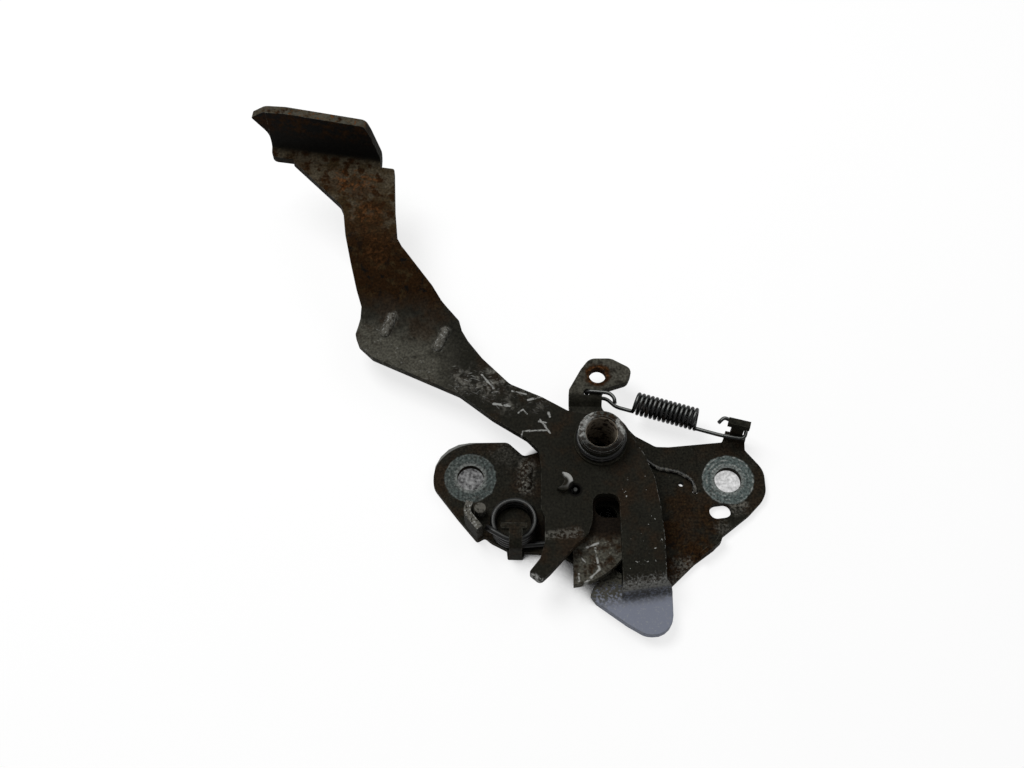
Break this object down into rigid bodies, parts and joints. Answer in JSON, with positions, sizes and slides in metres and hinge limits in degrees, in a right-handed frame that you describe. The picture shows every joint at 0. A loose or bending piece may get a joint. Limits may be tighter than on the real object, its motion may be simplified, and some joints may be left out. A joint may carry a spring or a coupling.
{
  "type": "bonnet latch",
  "caption": "Pressed-steel bonnet latch: bolted plate with striker claw, cable-released pawl and a long cranked safety lever with a finger flange.",
  "frame": {"origin": "midway between the two bolt holes, on the back face of the plate", "axes": "+X towards the plate's right ear, +Y from the striker's mouth towards the pivot, +Z out of the plate's front"},
  "size_m": [0.1771, 0.175, 0.0491],
  "materials": {
    "plate": "worn black paint with bare rings round the bolt holes",
    "lever": "worn black paint, brown rust along the arm",
    "pawl": "worn black paint",
    "claw": "rusty bare steel",
    "zinc": "dull zinc",
    "bare_steel": "dull bare steel",
    "dark_steel": "blackened steel",
    "spring_steel": "oiled black spring wire"
  },
  "bodies": {
    "base": {"base_plate": "plate", "pivot_bush": "zinc", "spacer_collar": "bare_steel", "middle_washer": "bare_steel", "upper_washer": "dark_steel", "friction_spring": "spring_steel", "safety_spring": "spring_steel", "pawl_spring": "spring_steel", "claw_rivet": "bare_steel", "claw_spacer": "bare_steel", "claw_spring": "spring_steel", "spring_post": "dark_steel", "stop_pin": "dark_steel"},
    "safety_lever": {"safety_lever": "lever"},
    "release_pawl": {"release_pawl": "pawl"},
    "latch_claw": {"latch_claw": "claw"}
  },
  "joints": [
    {"name": "safety_swing", "type": "hinge", "parent": "base", "child": "safety_lever", "pos_m": [0, 0.009, 0.012], "axis": [0, 0, 1], "range_deg": [0, 14], "stiffness_Nm_per_rad": 0.4, "springref_deg": -28.65, "deforming": ["safety_spring"]},
    {"name": "pawl_release", "type": "hinge", "parent": "base", "child": "release_pawl", "pos_m": [0, 0.009, 0.00825], "axis": [0, 0, 1], "range_deg": [0, 10], "stiffness_Nm_per_rad": 0.6, "springref_deg": -34.38, "deforming": ["pawl_spring"]},
    {"name": "claw_turn", "type": "hinge", "parent": "base", "child": "latch_claw", "pos_m": [-0.012, -0.017, 0.00825], "axis": [0, 0, 1], "range_deg": [-40, 0], "deforming": ["claw_spring"]}
  ],
  "couplings": [
    {"joint": "claw_turn", "follows": "pawl_release", "ratio": -4}
  ]
}
